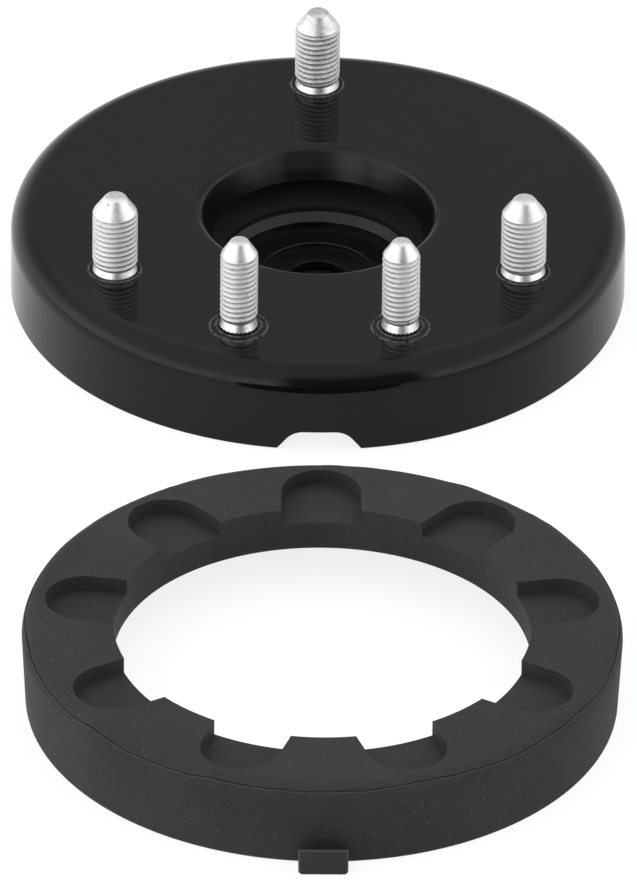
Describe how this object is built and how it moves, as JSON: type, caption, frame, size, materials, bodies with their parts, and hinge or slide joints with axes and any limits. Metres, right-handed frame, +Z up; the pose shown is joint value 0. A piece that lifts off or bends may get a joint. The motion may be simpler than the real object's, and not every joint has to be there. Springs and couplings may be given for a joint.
{
  "type": "strut mount",
  "caption": "Pressed-steel strut mount with threaded studs and a bonded rubber bush for the damper rod, laid beside its keyed rubber spring isolator.",
  "frame": {"origin": "centre of the bounding box of the two laid-out items, on the surface they lie on", "axes": "+Z up, along the strut's axis; +Y towards the mount and its rear stud; -Y towards the isolator and its tab"},
  "size_m": [0.163, 0.3638, 0.0508],
  "materials": {
    "black_paint": "gloss black",
    "plated_steel": "bright zinc plate",
    "bush_rubber": "matt black",
    "isolator_rubber": "matt charcoal, dusty"
  },
  "bodies": {
    "root": {"mount_plate": "black_paint", "large_stud_rear": "plated_steel", "large_stud_left": "plated_steel", "large_stud_right": "plated_steel", "small_stud_left": "plated_steel", "small_stud_right": "plated_steel", "bush_shell": "black_paint", "rubber_bush": "bush_rubber", "rod_seat": "black_paint", "spring_isolator": "isolator_rubber"}
  },
  "joints": []
}
